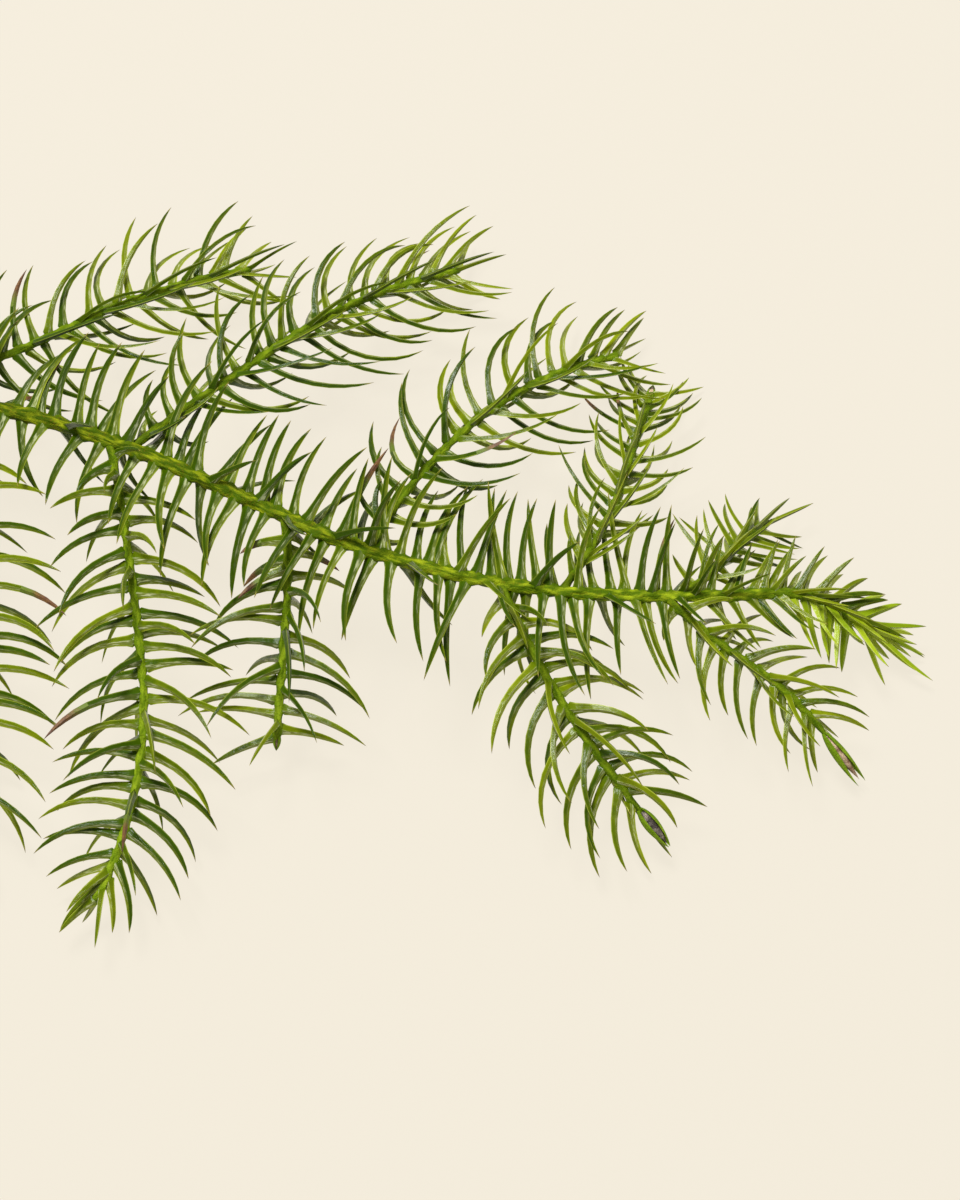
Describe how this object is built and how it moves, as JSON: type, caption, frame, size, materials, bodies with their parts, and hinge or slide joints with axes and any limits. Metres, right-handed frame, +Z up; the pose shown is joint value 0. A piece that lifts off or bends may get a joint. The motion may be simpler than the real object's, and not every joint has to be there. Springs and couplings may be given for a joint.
{
  "type": "cut bough of a norfolk island pine",
  "caption": "Cut bough of a young Norfolk Island pine: a tapering green limb with drooping branchlets and a leader, all set with curved awl-shaped needles, lying on level ground.",
  "frame": {"origin": "middle of the footprint, on the ground that the bough lies on", "axes": "+X runs from the cut end towards the leader, +Y points to the left of the bough seen from above, +Z is up"},
  "size_m": [0.1502, 0.1054, 0.0324],
  "materials": {
    "bough_bark": "matte",
    "needles": "satin",
    "fresh_needles": "satin"
  },
  "bodies": {
    "root": {"main_bough": "bough_bark", "leader_tip": "fresh_needles", "left_branchlet_1": "needles", "left_branchlet_2": "needles", "left_branchlet_3": "needles", "left_branchlet_4": "needles", "left_branchlet_5": "needles", "right_branchlet_1": "needles", "right_branchlet_2": "needles", "right_branchlet_3": "needles", "right_branchlet_4": "needles", "right_branchlet_5": "needles"}
  },
  "joints": []
}
